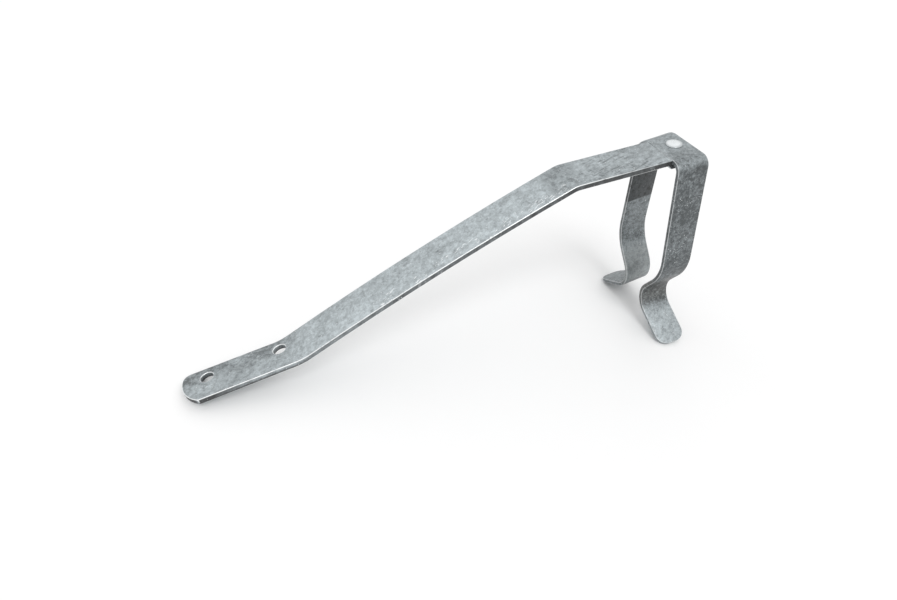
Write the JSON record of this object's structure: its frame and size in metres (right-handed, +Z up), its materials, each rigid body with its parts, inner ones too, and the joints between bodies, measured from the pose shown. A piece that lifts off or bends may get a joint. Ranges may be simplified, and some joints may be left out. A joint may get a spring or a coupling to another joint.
{
  "type": "cranked clip strap",
  "caption": "Cranked galvanised flat strap with a rounded, drilled end to screw down and a riveted spring clip with flared feet that snaps over a rail.",
  "frame": {"origin": "on the ground, under the middle of the whole part's box", "axes": "+Z up, +X along the strap from its screw-down tip to the clip, +Y across the strap away from its straight-cut tip corner; the part lies as it rests on level ground, on the strap's tip and both feet of the clip"},
  "size_m": [0.3828, 0.095, 0.1565],
  "materials": {
    "galvanised_strap": "hot-dip galvanised, mottled pale bluish grey spangle, brighter worn edges",
    "galvanised_clip": "galvanised spring strip, darker and slightly greenish grey with fine bright specks",
    "galvanised_rivet": "galvanised rivet, head worn bright"
  },
  "bodies": {
    "root": {"strap_arm": "galvanised_strap", "spring_clip": "galvanised_clip", "rivet": "galvanised_rivet"}
  },
  "joints": []
}
